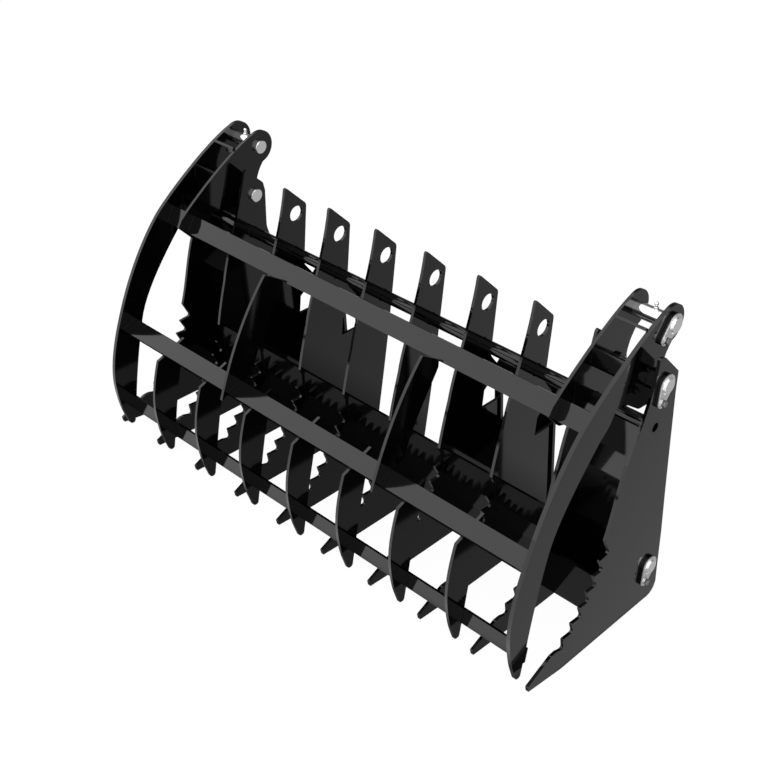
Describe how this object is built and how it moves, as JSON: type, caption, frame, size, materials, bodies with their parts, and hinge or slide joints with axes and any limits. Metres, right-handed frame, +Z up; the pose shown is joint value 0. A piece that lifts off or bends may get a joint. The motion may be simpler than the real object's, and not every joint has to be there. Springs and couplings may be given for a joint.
{
  "type": "grapple rake",
  "caption": "Skid steer grapple rake with hooked profile tines and a hinged top grapple, glossy black plate steel with bare flagged pins.",
  "frame": {"origin": "middle of the overall width and depth, on the ground under the outer cheeks", "axes": "+X across the rake, +Y to the loader side, -Y the open front with the tips, +Z up"},
  "size_m": [1.8756, 0.6804, 1.004],
  "materials": {
    "black_paint": "high gloss black enamel",
    "bushing_steel": "gloss black, same coat as the arms",
    "pin_steel": "satin zinc plated steel",
    "bolt_steel": "zinc plated",
    "nipple_steel": "bright plated"
  },
  "bodies": {
    "rake": {"outer_cheek_left": "black_paint", "outer_cheek_right": "black_paint", "inner_cheek_left": "black_paint", "inner_cheek_right": "black_paint", "tine_1": "black_paint", "tine_2": "black_paint", "tine_3": "black_paint", "tine_4": "black_paint", "tine_5": "black_paint", "tine_6": "black_paint", "torque_tube": "black_paint", "heel_plates": "black_paint", "cylinder_guard_left": "black_paint", "cylinder_guard_right": "black_paint", "coupler_left": "black_paint", "coupler_right": "black_paint", "pivot_pin_left": "pin_steel", "pivot_pin_right": "pin_steel", "base_pin_left": "pin_steel", "base_pin_right": "pin_steel", "pivot_bolts": "bolt_steel", "base_bolts": "bolt_steel"},
    "jaw": {"jaw_arm_outer_left": "black_paint", "jaw_arm_outer_right": "black_paint", "jaw_arm_inner_left": "black_paint", "jaw_arm_inner_right": "black_paint", "jaw_arm_middle_left": "black_paint", "jaw_arm_middle_right": "black_paint", "jaw_tine_1": "black_paint", "jaw_tine_2": "black_paint", "jaw_tine_3": "black_paint", "jaw_tine_4": "black_paint", "jaw_tine_5": "black_paint", "jaw_tine_6": "black_paint", "jaw_tine_7": "black_paint", "upper_bar": "black_paint", "lower_bar_left": "black_paint", "lower_bar_centre": "black_paint", "lower_bar_right": "black_paint", "tip_strip": "black_paint", "arm_braces_left": "black_paint", "arm_braces_right": "black_paint", "bushing_outer_left": "bushing_steel", "bushing_outer_right": "bushing_steel", "bushing_inner_left": "bushing_steel", "bushing_inner_right": "bushing_steel", "ear_pin_left": "pin_steel", "ear_pin_right": "pin_steel", "ear_bolts": "bolt_steel", "ear_nipples": "nipple_steel"}
  },
  "joints": [
    {"name": "jaw_hinge", "type": "hinge", "parent": "rake", "child": "jaw", "pos_m": [0, 0.18281, 0.81], "axis": [-1, 0, 0], "range_deg": [0, 65]}
  ]
}
